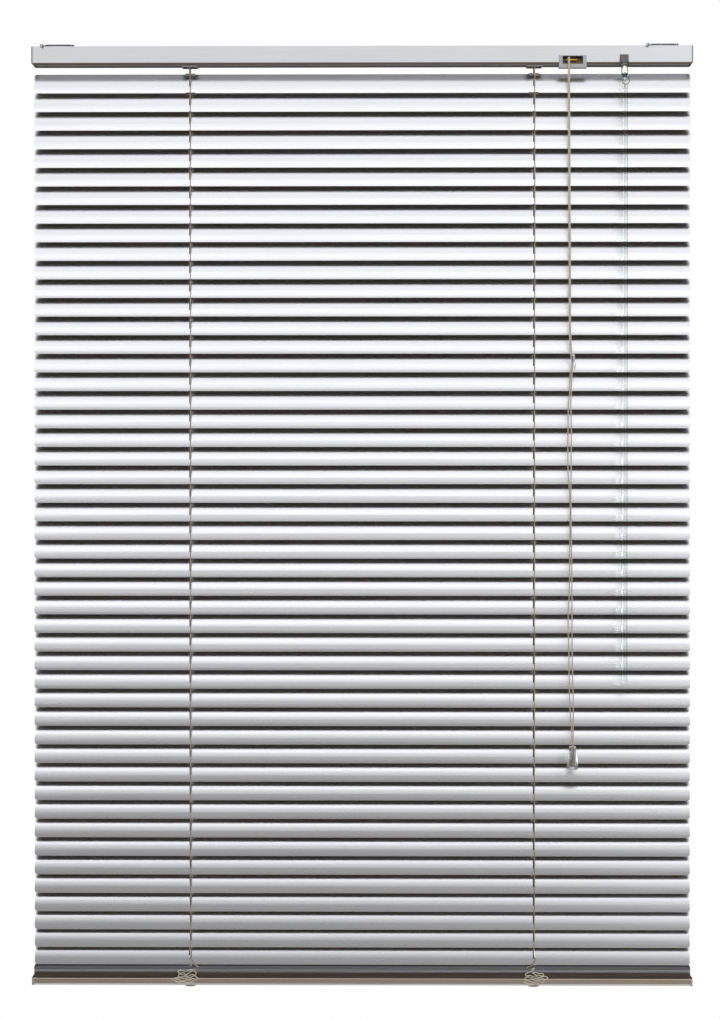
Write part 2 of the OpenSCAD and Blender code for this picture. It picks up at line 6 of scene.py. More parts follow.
import bmesh
import bpy
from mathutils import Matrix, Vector


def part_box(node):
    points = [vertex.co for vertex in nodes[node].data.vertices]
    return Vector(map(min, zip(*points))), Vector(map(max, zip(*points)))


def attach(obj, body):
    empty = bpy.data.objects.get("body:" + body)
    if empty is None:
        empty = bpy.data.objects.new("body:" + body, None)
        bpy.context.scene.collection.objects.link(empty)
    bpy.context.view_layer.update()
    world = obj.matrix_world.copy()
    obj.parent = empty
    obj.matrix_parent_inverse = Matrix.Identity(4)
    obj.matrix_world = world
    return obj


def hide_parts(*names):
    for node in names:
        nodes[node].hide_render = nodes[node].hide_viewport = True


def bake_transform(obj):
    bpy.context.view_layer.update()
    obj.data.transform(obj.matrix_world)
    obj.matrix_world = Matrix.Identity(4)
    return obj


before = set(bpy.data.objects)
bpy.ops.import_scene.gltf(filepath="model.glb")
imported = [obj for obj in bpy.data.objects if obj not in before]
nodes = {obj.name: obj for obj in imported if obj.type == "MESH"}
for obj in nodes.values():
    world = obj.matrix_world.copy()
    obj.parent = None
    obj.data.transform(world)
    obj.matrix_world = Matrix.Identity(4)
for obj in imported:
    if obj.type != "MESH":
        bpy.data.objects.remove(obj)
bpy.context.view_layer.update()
MM = 0.001

SLATS = sorted(n for n in nodes if n.startswith("slat_"))
RAIL_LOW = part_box("headrail")[0]
BOTTOM_LOW, BOTTOM_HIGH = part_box("bottom_rail")
LADDER_X = 208.7  # in mm, from the middle to each ladder

# Camera

camera = bpy.data.objects.new("camera", bpy.data.cameras.new("camera"))
bpy.context.scene.collection.objects.link(camera)
camera.data.sensor_width = 36
camera.data.lens = 96.35
camera.data.clip_start = 0.1
camera.data.clip_end = 60
camera.location = (0.0324, RAIL_LOW.y - 3.3, -0.52982)
camera.rotation_euler = (math.radians(89.43), 0, math.radians(0.6))
bpy.context.scene.camera = camera
bpy.context.scene.view_settings.view_transform = "Standard"


# Meshes


def smooth_path(points, step=2.0, scale=MM):
    """A Catmull-Rom curve through the points, in metres, with a point about every step."""
    pts = [Vector(p) * scale for p in points]
    pts = [pts[0] * 2 - pts[1], *pts, pts[-1] * 2 - pts[-2]]
    out = []
    for a, b, c, d in zip(pts, pts[1:], pts[2:], pts[3:]):
        n = max(1, round((c - b).length / (step * scale)))
        knots = [0.0]
        for p, q in ((a, b), (b, c), (c, d)):
            knots.append(knots[-1] + max((q - p).length, 1e-7) ** 0.5)
        t0, t1, t2, t3 = knots
        for k in range(n):
            t = t1 + (t2 - t1) * k / n
            ab = a.lerp(b, (t - t0) / (t1 - t0))
            bc = b.lerp(c, (t - t1) / (t2 - t1))
            cd = c.lerp(d, (t - t2) / (t3 - t2))
            abc = ab.lerp(bc, (t - t0) / (t2 - t0))
            bcd = bc.lerp(cd, (t - t1) / (t3 - t1))
            out.append(abc.lerp(bcd, (t - t1) / (t2 - t1)))
    out.append(pts[-2])
    return out


def link(name, bm, smooth=True):
    mesh = bpy.data.meshes.new(name)
    bm.to_mesh(mesh)
    bm.free()
    if smooth:
        mesh.shade_smooth()
    obj = bpy.data.objects.new(name, mesh)
    bpy.context.scene.collection.objects.link(obj)
    return obj


def add_tube(bm, path, radius, sides=8, uv_scale=1000.0):
    """A round tube along the path, whose UVs run round it and along its length."""
    uv = bm.loops.layers.uv.verify()
    side = Vector((1, 0, 0))
    rings = []
    along = 0.0
    runs = []
    for i, p in enumerate(path):
        ahead = path[min(i + 1, len(path) - 1)] - path[max(i - 1, 0)]
        ahead.normalize()
        side = side - ahead * side.dot(ahead)
        if side.length < 1e-4:
            side = ahead.orthogonal()
        side.normalize()
        up = ahead.cross(side)
        r = radius(i / (len(path) - 1)) if callable(radius) else radius
        ring = []
        for k in range(sides):
            a = 2 * math.pi * k / sides
            ring.append(bm.verts.new(p + r * (math.cos(a) * side + math.sin(a) * up)))
        rings.append(ring)
        if i:
            along += (p - path[i - 1]).length
        runs.append(along * uv_scale)
    for i in range(len(rings) - 1):
        for k in range(sides):
            n = (k + 1) % sides
            face = bm.faces.new((rings[i][k], rings[i][n], rings[i + 1][n], rings[i + 1][k]))
            corners = ((k, i), (k + 1, i), (k + 1, i + 1), (k, i + 1))
            for loop, (u, v) in zip(face.loops, corners):
                loop[uv].uv = (u / sides, runs[v])
    bm.faces.new(list(reversed(rings[0])))
    bm.faces.new(rings[-1])


def tube(name, path, radius, sides=8):
    bm = bmesh.new()
    add_tube(bm, path, radius, sides)
    return link(name, bm)


def add_lathe(bm, profile, centre, sides=48, ribs=0):
    """A closed profile of (radius, height) points turned round the Z axis through centre."""
    rings = []
    for r, z in profile:
        ring = []
        for k in range(sides):
            a = 2 * math.pi * k / sides
            w = r * (1 + 0.03 * math.cos(ribs * a)) if ribs else r
            ring.append(bm.verts.new(centre + Vector((w * math.cos(a), w * math.sin(a), z))))
        rings.append(ring)
    for a, b in zip(rings, rings[1:] + rings[:1]):
        for k in range(sides):
            n = (k + 1) % sides
            bm.faces.new((a[k], a[n], b[n], b[k]))


# Materials


def srgb(r, g, b):
    out = []
    for c in (r, g, b):
        c /= 255
        out.append(c / 12.92 if c <= 0.04045 else ((c + 0.055) / 1.055) ** 2.4)
    return (*out, 1.0)


class Shader:
    """A node material round one Principled shader."""

    def __init__(self, name, **values):
        self.material = bpy.data.materials.new(name)
        self.material.use_nodes = True
        self.tree = self.material.node_tree
        self.principled = self.tree.nodes["Principled BSDF"]
        for key, value in values.items():
            self.principled.inputs[key.replace("_", " ")].default_value = value

    def add(self, kind, links=(), **values):
        node = self.tree.nodes.new(kind)
        for key, value in values.items():
            if key.startswith("in_"):
                node.inputs[key[3:].replace("_", " ")].default_value = value
            else:
                setattr(node, key, value)
        for socket, source in dict(links).items():
            self.tree.links.new(source, node.inputs[socket])
        return node

    def coords(self, kind="Object", scale=(1, 1, 1), turn=(0, 0, 0)):
        texture = self.add("ShaderNodeTexCoord")
        mapping = self.add("ShaderNodeMapping", {"Vector": texture.outputs[kind]})
        mapping.inputs["Scale"].default_value = scale
        mapping.inputs["Rotation"].default_value = turn
        return mapping.outputs["Vector"]

    def noise(self, vector, scale, detail=3.0, rough=0.55):
        node = self.add("ShaderNodeTexNoise", {"Vector": vector})
        node.inputs["Scale"].default_value = scale
        node.inputs["Detail"].default_value = detail
        node.inputs["Roughness"].default_value = rough
        return node.outputs["Fac"]

    def ramp(self, value, low, high, out_low, out_high):
        node = self.add("ShaderNodeMapRange", {"Value": value})
        node.inputs["From Min"].default_value = low
        node.inputs["From Max"].default_value = high
        node.inputs["To Min"].default_value = out_low
        node.inputs["To Max"].default_value = out_high
        return node.outputs["Result"]

    def mix(self, factor, first, second):
        node = self.add("ShaderNodeMix", data_type="RGBA")
        self.tree.links.new(factor, node.inputs["Factor"])
        for socket, value in ((6, first), (7, second)):
            if isinstance(value, tuple):
                node.inputs[socket].default_value = value
            else:
                self.tree.links.new(value, node.inputs[socket])
        return node.outputs[2]

    def math(self, operation, a, b):
        node = self.add("ShaderNodeMath", operation=operation)
        for socket, value in enumerate((a, b)):
            if isinstance(value, (int, float)):
                node.inputs[socket].default_value = value
            else:
                self.tree.links.new(value, node.inputs[socket])
        return node.outputs[0]

    def to(self, name, source):
        self.tree.links.new(source, self.principled.inputs[name])

    def bump(self, height, strength, distance):
        node = self.add("ShaderNodeBump", {"Height": height})
        node.inputs["Strength"].default_value = strength
        node.inputs["Distance"].default_value = distance
        self.to("Normal", node.outputs["Normal"])


def satin_metal(name, light, dark, roughness, metallic=1.0, grain=(2, 90, 90), coat=0.0, bump=0.06,
                painted_shade_from=None, painted_bands=()):
    """Lacquered or drawn metal: long faint grain, small specks, and handling marks in the gloss.

    painted_shade_from is the distance from the middle where painted shade darkens the ends. Each of the
    painted_bands is a height, how soft its edge is, and the tone below it, painted shade when darker and a
    painted highlight when paler.
    """
    s = Shader(name, Metallic=metallic, Coat_Weight=coat, Coat_Roughness=0.12)
    streak = s.noise(s.coords(scale=grain), 6.0, 4.0)
    cloud = s.noise(s.coords(), 7.0, 2.0)
    speck = s.noise(s.coords(), 1400.0, 1.0)
    colour = s.mix(s.ramp(streak, 0.35, 0.65, 0.0, 1.0), light, dark)
    # Painted shade: beyond painted_shade_from the colour darkens towards a dark grey.
    if painted_shade_from:
        split = s.add("ShaderNodeSeparateXYZ", {"Vector": s.coords()})
        across = s.math("ABSOLUTE", split.outputs["X"], 0)
        colour = s.mix(s.ramp(across, painted_shade_from, painted_shade_from + 0.0025, 0.0, 0.8), colour, srgb(60, 58, 56))
    # Painted shade and painted highlights: each band repaints everything below its height in its tone.
    height = s.add("ShaderNodeSeparateXYZ", {"Vector": s.coords()}).outputs["Z"] if painted_bands else None
    for z, soft, tone in painted_bands:
        colour = s.mix(s.ramp(height, z - soft, z + soft, 1.0, 0.0), colour, tone)
    s.to("Base Color", colour)
    marks = s.ramp(cloud, 0.3, 0.7, roughness * 0.95, roughness * 1.04)
    rough = s.math("ADD", marks, s.ramp(streak, 0.3, 0.7, 0, 0.02))
    s.to("Roughness", rough)
    s.bump(s.math("ADD", streak, s.math("MULTIPLY", speck, 0.3)), bump, 0.0002)
    return s.material


def moulded(name, light, dark, roughness, transmission=0.0, ior=1.49, bump=0.08):
    """Moulded plastic, clear or solid, with a faint flow and a fine surface grain."""
    s = Shader(name, Transmission_Weight=transmission, IOR=ior)
    flow = s.noise(s.coords(), 60.0, 3.0)
    fine = s.noise(s.coords(), 900.0, 2.0)
    s.to("Base Color", s.mix(flow, light, dark))
    s.to("Roughness", s.ramp(flow, 0.3, 0.7, roughness * 0.8, roughness * 1.25))
    s.bump(fine, bump, 0.0002)
    return s.material


def clear_plastic(name, edge, ior=1.49, roughness=0.05):
    """Clear plastic with painted shade towards its outline, in place of dark surroundings seen through its
    edges, and a faint flow inside.
    """
    s = Shader(name, Transmission_Weight=1.0, IOR=ior)
    flow = s.noise(s.coords(), 60.0, 3.0)
    painted_rim_shade = s.add("ShaderNodeLayerWeight", in_Blend=0.5).outputs["Facing"]
    body = s.mix(flow, srgb(250, 251, 250), srgb(242, 244, 242))
    s.to("Base Color", s.mix(s.ramp(painted_rim_shade, 0.3, 0.7, 0.0, 1.0), body, edge))
    s.to("Roughness", s.ramp(flow, 0.3, 0.7, roughness * 0.8, roughness * 1.3))
    s.bump(flow, 0.02, 0.0002)
    return s.material


def braid(name, light, dark, pitch):
    """Braided cord: two sets of strands that wind round it against each other."""
    s = Shader(name, Roughness=0.82, Sheen_Weight=0.25, Sheen_Roughness=0.5)
    uv = s.coords("UV")
    split = s.add("ShaderNodeSeparateXYZ", {"Vector": uv})
    turn = s.math("MULTIPLY", split.outputs["X"], 2 * math.pi * 2)
    run = s.math("MULTIPLY", split.outputs["Y"], 2 * math.pi / pitch)
    one = s.math("SINE", s.math("ADD", turn, run), 0)
    two = s.math("SINE", s.math("SUBTRACT", turn, run), 0)
    weave = s.ramp(s.math("MULTIPLY", one, two), -1.0, 1.0, 0.0, 1.0)
    fuzz = s.noise(s.coords(), 500.0, 3.0)
    height = s.math("ADD", weave, s.math("MULTIPLY", fuzz, 0.6))
    s.to("Base Color", s.mix(s.ramp(height, 0.3, 1.2, 0.0, 1.0), dark, light))
    s.bump(height, 0.5, 0.0002)
    return s.material


def spun(name, light, dark):
    """Spun thread on CAD solids, which carry no UVs."""
    s = Shader(name, Roughness=0.85, Sheen_Weight=0.25, Sheen_Roughness=0.5)
    strands = s.noise(s.coords(scale=(1, 1, 0.3)), 900.0, 2.0)
    s.to("Base Color", s.mix(s.ramp(strands, 0.3, 0.7, 0.0, 1.0), dark, light))
    s.bump(strands, 0.4, 0.0002)
    return s.material


RAIL_SHADE_FROM = 0.3972  # in m, painted shade darkens the headrail from here to its ends

SLAT = satin_metal("slat_aluminium", srgb(247, 248, 253), srgb(244, 245, 250), 0.27, bump=0.0015)
# Painted shade: the slats' backs, the same aluminium, are made darker and warmer.
SLAT_BACK_SHADE = satin_metal("slat_back_painted_shade", srgb(224, 220, 208), srgb(218, 213, 200), 0.3, bump=0.002)
# Painted shade: the headrail darkens at its ends and in a brown band along its lower edge.
RAIL = satin_metal("rail_lacquer", srgb(208, 210, 215), srgb(204, 206, 211), 0.28, bump=0.003,
                   painted_shade_from=RAIL_SHADE_FROM, painted_bands=[(RAIL_LOW.z + 0.0031, 0.0005, srgb(132, 123, 110))])
UNDER = satin_metal("headrail_underside", srgb(214, 214, 216), srgb(208, 208, 210), 0.35, bump=0.003)
SILL = satin_metal("bottom_rail_metal", srgb(212, 198, 180), srgb(204, 190, 172), 0.3, bump=0.01)
# Painted highlight: a paler, less metallic copy of the rail's metal for its lower front, nearly white along
# the bottom edge.
LIP = satin_metal("bottom_rail_lip_painted_highlight", srgb(206, 198, 186), srgb(198, 190, 178), 0.4, metallic=0.2, bump=0.01,
                  painted_bands=[(BOTTOM_LOW.z + 0.0058, 0.0006, srgb(252, 250, 246))])
STEEL = satin_metal("plated_steel", srgb(132, 132, 134), srgb(112, 112, 114), 0.25, grain=(30, 30, 30))
ROD = satin_metal("rod_steel", srgb(190, 191, 193), srgb(172, 174, 178), 0.35)
BRASS = satin_metal("brass", srgb(214, 168, 62), srgb(190, 138, 40), 0.28, grain=(90, 5, 90))
# The clear plastics' second tone is the painted dark outline.
CLEAR = clear_plastic("clear_acrylic", srgb(60, 60, 58))
WAND = clear_plastic("wand_acrylic", srgb(120, 121, 120), ior=1.1)
PLATE = moulded("clear_lock_plate", srgb(198, 200, 203), srgb(186, 188, 191), 0.2, transmission=0.2)
# Painted shade: the ladder mouths' pale plastic is darkened to mid grey for the shade under the headrail.
MOUTH = moulded("ladder_mouths_painted_shade", srgb(150, 148, 146), srgb(138, 136, 134), 0.4, bump=0.2)
END = moulded("rail_end_caps", srgb(214, 210, 206), srgb(200, 196, 192), 0.25, transmission=0.25)
BUNCH = braid("gathered_string", srgb(252, 246, 230), srgb(206, 196, 172), 1.4)
# Painted shade: the lock plate's rear faces are dark brown, where the inside of the headrail lies in shade.
LOCK_SHADE = satin_metal("lock_inside_painted_shade", srgb(150, 138, 114), srgb(50, 42, 33), 0.4, metallic=0.4,
                     grain=(60, 60, 90))
GREY = moulded("grey_plastic", srgb(106, 105, 103), srgb(92, 91, 89), 0.4, bump=0.2)
BEIGE = moulded("beige_plastic", srgb(168, 152, 134), srgb(150, 135, 118), 0.42, bump=0.2)
CORD = braid("braided_cord", srgb(224, 216, 194), srgb(156, 144, 116), 1.6)
THREAD = spun("ladder_thread", srgb(204, 195, 168), srgb(126, 115, 86))
# Painted shade and a painted reflection: the surplus slats, the same aluminium as the others, are dark grey
# with a pale band near the pile's top and a brown band below it.
STACK = satin_metal("surplus_slats_painted_shade_and_reflection", srgb(96, 96, 100), srgb(86, 86, 90), 0.42, metallic=0.35, bump=0.01,
                    painted_bands=[(BOTTOM_HIGH.z - 0.0026, 0.0006, srgb(214, 214, 220)),
                           (BOTTOM_HIGH.z - 0.0067, 0.0006, srgb(132, 118, 106))])
CLIP = moulded("slat_clips", srgb(184, 181, 176), srgb(168, 165, 160), 0.45, bump=0.2)
# Painted shade: a darker copy of the ladder thread for the lift cords, which run in shadow through the
# slats.
SHADED = spun("lift_thread_painted_shade", srgb(104, 98, 80), srgb(72, 66, 52))


# Finish on the CAD nodes


def islands(mesh):
    """Groups of face indices that share no vertex, with each group's lowest and highest corner."""
    parent = list(range(len(mesh.vertices)))

    def find(a):
        while parent[a] != a:
            parent[a] = parent[parent[a]]
            a = parent[a]
        return a

    first = {}
    for v in mesh.vertices:
        key = tuple(round(c, 5) for c in v.co)
        parent[find(v.index)] = find(first.setdefault(key, v.index))
    for e in mesh.edges:
        parent[find(e.vertices[0])] = find(e.vertices[1])
    groups = {}
    for p in mesh.polygons:
        groups.setdefault(find(p.vertices[0]), []).append(p.index)
    out = []
    for faces in groups.values():
        corners = [mesh.vertices[v].co for f in faces for v in mesh.polygons[f].vertices]
        low = Vector([min(c[i] for c in corners) for i in range(3)])
        high = Vector([max(c[i] for c in corners) for i in range(3)])
        out.append((faces, low, high))
    return out


def finish_node(name, materials, choose=None):
    """Puts the materials on a CAD node; choose(low, high) gives the material of each loose solid."""
    mesh = nodes[name].data
    mesh.materials.clear()
    for m in materials:
        mesh.materials.append(m)
    for faces, low, high in islands(mesh) if choose else ():
        pick = materials.index(choose(low, high))
        for f in faces:
            mesh.polygons[f].material_index = pick


def repaint(name, material, test, only=None):
    """Gives the faces that pass the test another of the node's materials; only names the one it replaces."""
    mesh = nodes[name].data
    materials = list(mesh.materials)
    for p in mesh.polygons:
        if test(p) and (only is None or materials[p.material_index] == only):
            p.material_index = materials.index(material)


def by_ladder(x, reach):
    return abs(abs(x) - LADDER_X * MM) < reach


def full_width(low, high):
    return high.x - low.x > 0.5


def choose_fitting(low, high):
    """The lock's roller, the end caps, the lock, the ladders' saddles, or the tilter's housing."""
    size = high - low
    if size.x < 0.0145 and low.y > -0.0145 and low.x > 0.2 and size.z < 0.006:
        return BRASS
    if low.x < -0.35 or high.x > 0.35:
        return RAIL
    if low.x > 0.23 and high.x < 0.28:
        return PLATE
    return MOUTH if by_ladder((low.x + high.x) / 2, 0.02) else GREY


def choose_slat(low, high):
    """The slat, the rung threads, or the clips."""
    if full_width(low, high):
        return SLAT
    return THREAD if high.x - low.x < 0.002 else CLIP


def choose_bottom(low, high):
    """The surplus slats, which are thin, or the bottom rail with its plugs and end caps."""
    return STACK if full_width(low, high) and high.z - low.z < 0.004 else SILL


finish_node("headrail", [RAIL, UNDER])
repaint("headrail", UNDER, lambda p: p.normal.z < -0.95 and p.center.z < RAIL_LOW.z + 0.001)
finish_node("headrail_fittings", [RAIL, GREY, PLATE, BRASS, LOCK_SHADE, MOUTH], choose_fitting)
repaint("headrail_fittings", LOCK_SHADE, lambda p: p.center.y > RAIL_LOW.y - 0.001, only=PLATE)
finish_node("mounting_brackets", [STEEL])
finish_node("tilt_rod", [ROD, GREY], lambda low, high: ROD if high.x - low.x > 0.3 else GREY)
finish_node("tilter_stem", [CLEAR])
finish_node("wand", [WAND, STEEL], lambda low, high: WAND if high.z - low.z > 0.1 else STEEL)
finish_node("lift_cords", [SHADED])
for name in ("ladder_front_cords", "ladder_rear_cords", "pull_cord"):
    finish_node(name, [THREAD])
finish_node("tassel", [CLEAR])
for name in SLATS:
    finish_node(name, [SLAT, THREAD, CLIP, SLAT_BACK_SHADE], choose_slat)
    repaint(name, SLAT_BACK_SHADE, lambda p: p.normal.y > 0.2, only=SLAT)

PLUG_TOP = BOTTOM_LOW.z + 2.35 * MM
LIP_TOP = PLUG_TOP + 2.6 * MM
SILL_TOP = PLUG_TOP + 9 * MM
finish_node("bottom_rail", [STACK, SILL, BEIGE, LIP, END], choose_bottom)
# The rail's lower front faces take the painted highlight.
repaint("bottom_rail", LIP, lambda p: p.center.z < LIP_TOP and p.center.y < -0.008, only=SILL)
repaint("bottom_rail", END, lambda p: abs(p.center.x) > 0.3955 and p.center.z < SILL_TOP)
repaint("bottom_rail", BEIGE, lambda p: p.center.z < PLUG_TOP and by_ladder(p.center.x, 0.0075))

# Pull cords, from the lock down through the joiner to the tassel

NEAR = [(250, -10, -16.4), (250, -13.4, -17), (250, -15, -20), (250, -15.3, -28), (250, -15.5, -60),
        (250.4, -16, -140), (251, -17, -270), (251.4, -17.6, -350), (252.8, -17.8, -374)]
LEFT = [(253.6, -17.8, -386), (251.8, -18, -397), (250.8, -18, -421), (249.6, -18, -434),
        (249, -18.2, -460), (249, -18.4, -517), (250.2, -18.6, -534), (251.4, -18.8, -554),
        (251.4, -19, -585), (251, -19.2, -626), (250.6, -19.4, -660), (249.2, -19.6, -694),
        (250, -19.8, -735), (251.4, -20.4, -803), (253.2, -20.8, -826), (253.6, -21, -842),
        (253.6, -21, -866)]
RIGHT = [(255, -18.2, -386), (253.6, -19.8, -397), (252.6, -19.8, -421), (252.2, -19.8, -434),
         (252.8, -19.8, -460), (252.6, -20, -517), (252.4, -20.2, -534), (252.4, -20.4, -554),
         (252.6, -20.6, -585), (253.4, -20.8, -626), (253.6, -21, -660), (253.8, -21.2, -694),
         (253.9, -21.4, -735), (255.4, -21.4, -803), (255.2, -21.2, -826), (255.2, -21, -842),
         (255.2, -21, -866)]
CORD_R = 0.68
KNOT = Vector((254.4, -17.8, -380))
TASSEL = Vector((254.4, -21, -848.4))

for name, strand, shift in (("pull_cord_left", LEFT, -0.7), ("pull_cord_right", RIGHT, 0.7)):
    points = [(x + shift, y - (0.25 if shift > 0 else 0), z) for x, y, z in NEAR] + strand[:-1]
    points.append((strand[-1][0], strand[-1][1], TASSEL.z - 17))
    path = smooth_path(points)
    piece = tube(name, path, CORD_R * MM, sides=10)
    piece.data.materials.append(CORD)
    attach(piece, "root")
    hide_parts("pull_cord")

# Tassel: a clear bell over the knotted ends

bm = bmesh.new()
H, TOP_R, MOUTH_R, WALL = 28.0, 4.1, 7.3, 1.0
outer = [(1.9, H), (TOP_R - 1.3, H), (TOP_R - 0.4, H - 0.4), (TOP_R, H - 1.4)]
outer += [(TOP_R + (MOUTH_R - TOP_R) * (t / 10) ** 1.25, (H - 1.4) * (1 - t / 10)) for t in range(1, 10)]
outer += [(MOUTH_R, 0.7), (MOUTH_R - 0.15, 0.1), (MOUTH_R - WALL / 2, 0), (MOUTH_R - WALL + 0.1, 0.2)]
inner = [(r - WALL, z) for r, z in reversed(outer[3:-4])]
profile = outer + inner + [(TOP_R - WALL - 0.4, H - 2), (1.9, H - 2)]
add_lathe(bm, [(r * MM, z * MM) for r, z in profile], (TASSEL - Vector((0, 0, H))) * MM, 80, 10)
bell = link("tassel_bell", bm)
bell.data.materials.append(CLEAR)
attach(bell, "root")
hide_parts("tassel")

bm = bmesh.new()
knot_c = TASSEL - Vector((0, 0, 17.5))
turns = []
for k in range(73):
    t = k / 72 * 2 * math.pi * 2
    turns.append((knot_c.x + 1.55 * math.cos(1.5 * t) * (1 + 0.2 * math.cos(t)),
                  knot_c.y + 1.55 * math.sin(1.5 * t), knot_c.z + 2.0 * math.sin(t)))
add_tube(bm, smooth_path(turns, 0.6), 0.85 * MM, 8)
for dx, dy in ((-1.1, -0.4), (0.9, 0.5), (0.1, -1.2)):
    tail = [(knot_c.x + dx * 0.5, knot_c.y + dy * 0.5, knot_c.z - 1.5),
            (knot_c.x + dx, knot_c.y + dy, knot_c.z - 4),
            (knot_c.x + dx * 1.6, knot_c.y + dy * 1.4, knot_c.z - 7)]
    add_tube(bm, smooth_path(tail, 1), lambda t: (0.6 - 0.25 * t) * MM, 6)
knot = link("tassel_knot", bm)
knot.data.materials.append(CORD)
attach(knot, "root")

bm = bmesh.new()
barrel = [(1.75, 4.6), (2.3, 4.4), (2.6, 3.6), (2.6, 0.6), (2.35, 0.2), (2.35, -0.2), (2.6, -0.6),
          (2.6, -3.6), (2.3, -4.4), (1.75, -4.6), (1.5, -4.4), (1.5, 4.4)]
add_lathe(bm, [(r * MM, z * MM) for r, z in barrel], (KNOT + Vector((0.2, -0.2, 0))) * MM, 32)
joiner = link("cord_joiner", bm)
joiner.data.materials.append(CLEAR)
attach(joiner, "root")

bm = bmesh.new()
rng = random.Random(5)
for k in range(7):
    a = rng.uniform(-0.6, 0.6)
    reach = rng.uniform(7, 11)
    start = Vector((KNOT.x + 2.2, KNOT.y - 0.4, KNOT.z - 3.4 + rng.uniform(-0.3, 0.3)))
    tail = [start, start + Vector((1.0 + 0.3 * a, 0.6 * a, -reach * 0.45)),
            start + Vector((0.2 + 1.6 * a, 1.2 * a, -reach))]
    add_tube(bm, smooth_path(tail, 1), lambda t: (0.28 - 0.12 * t) * MM, 5)
fray = link("joiner_fray", bm)
fray.data.materials.append(CORD)
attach(fray, "root")

# Ladders: front and rear strings, their ends at the drums, and their slack at the bottom rail

STRING_R = 0.56
SLAT_TILT, HOLD_U, HOLD_W = math.radians(67.5), 14.8, -0.9
PITCH, SINK = 22.6, 3.4
SLAT_Z = [-45.3 - PITCH * i + SINK * (max(0, i - 43) / 4) ** 2 for i in range(len(SLATS))]
LAST_Z = SLAT_Z[-1]
ROD_Z = -13.4
FRONT = (-HOLD_U * math.cos(SLAT_TILT) - HOLD_W * math.sin(SLAT_TILT),
         -HOLD_U * math.sin(SLAT_TILT) + HOLD_W * math.cos(SLAT_TILT))
REAR = (HOLD_U * math.cos(SLAT_TILT) - HOLD_W * math.sin(SLAT_TILT),
        HOLD_U * math.sin(SLAT_TILT) + HOLD_W * math.cos(SLAT_TILT))
PILE_TOP = BOTTOM_HIGH.z / MM
RAIL_Z = BOTTOM_LOW.z / MM + 2.4
FACE_Y = -12.85
STRING_X = 0.7


def string_piece(name, points, node, step=3):
    """A ladder string in place of a CAD node's cords, paler where it ends by the bottom rail."""
    path = smooth_path(points, step)
    piece = tube(name, path, STRING_R * MM)
    piece.data.materials.append(BUNCH if points[-1][2] < RAIL_Z + 20 else THREAD)
    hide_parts(node)
    return piece


# Lowest part of each front string and the tangle of slack it ends in, seen from the front: (right, down)
TANGLES = {
    -1: ((-208.7, -1094.8), [
        (0, 0), (-0.9, 4.3), (-1.3, 8.3), (-0.2, 11.2), (1.8, 15.2), (4.6, 20.4), (5.8, 22.6), (8.3, 22.4),
        (9.7, 23.5), (8.8, 24.9), (5.6, 25.5), (1.2, 25.8), (-4.6, 27.5), (-8.8, 26.8), (-12.6, 26.5),
        (-13.9, 28.2), (-11.4, 29.9), (-7.3, 29.4), (-4.6, 31.6), (-0.7, 29.4), (2.9, 27.0), (6.1, 27.5),
        (8.0, 29.9), (6.6, 32.4), (2.7, 31.4), (-1.2, 33.3), (-6.1, 32.6), (-10.9, 31.4), (-13.1, 31.9),
        (-13.9, 33.8), (-10.9, 34.8), (-5.4, 34.3), (0.2, 35.3), (4.9, 33.3), (7.5, 33.8), (9.7, 36.3),
        (8.3, 37.7), (4.1, 36.5), (-0.7, 37.7), (-6.1, 36.5), (-11.4, 35.8), (-17.0, 35.5), (-21.2, 37.2),
        (-19.2, 38.4), (-13.9, 37.7), (-8.5, 39.2), (-2.9, 38.2), (2.4, 39.7), (6.1, 38.4), (4.9, 40.6),
        (-1.2, 41.1), (-7.3, 40.4), (-14.6, 39.7), (-18.2, 39.2), (-15.6, 40.9), (-8.5, 42.3), (-2.2, 41.8),
        (2.4, 42.3)]),
    1: ((208.9, -1094.8), [
        (0, 0), (-0.7, 4.3), (-0.2, 8.5), (0.5, 12.4), (1.9, 14.1), (1.5, 16.1), (-0.5, 18.2), (-1.5, 20.4),
        (-5.6, 22.1), (-8.3, 23.4), (-8.3, 24.8), (-5.8, 25.3), (-2.7, 23.8), (0, 23.1), (-1.5, 25.3),
        (-4.9, 27.0), (-8.3, 28.7), (-10.7, 30.7), (-9.2, 32.4), (-5.6, 31.6), (-1.5, 33.1), (2.4, 31.9),
        (-0.2, 29.9), (-2.7, 28.7), (1.0, 28.2), (5.8, 29.4), (10.7, 29.9), (11.4, 31.6), (8.3, 32.4),
        (4.9, 31.4), (1.7, 33.1), (5.8, 34.3), (10.7, 33.1), (15.1, 33.6), (16.1, 35.0), (13.4, 36.5),
        (10.2, 35.3), (6.3, 36.5), (2.2, 35.3), (-2.7, 34.6), (-7.5, 33.8), (-10.9, 34.6), (-11.7, 36.5),
        (-8.0, 37.5), (-3.6, 36.0), (0, 37.5), (4.9, 37.7), (9.5, 37.0), (12.2, 38.4), (9.5, 40.1),
        (4.9, 38.9), (-0.2, 40.4), (-5.4, 38.9), (-10.2, 38.7), (-12.6, 39.9), (-9.2, 41.1), (-3.9, 41.8),
        (1.2, 41.4), (5.8, 42.1)]),
}
HANG, SLACK = 6, 12  # where in its tangle a string stops hanging, and where its slack starts to bunch

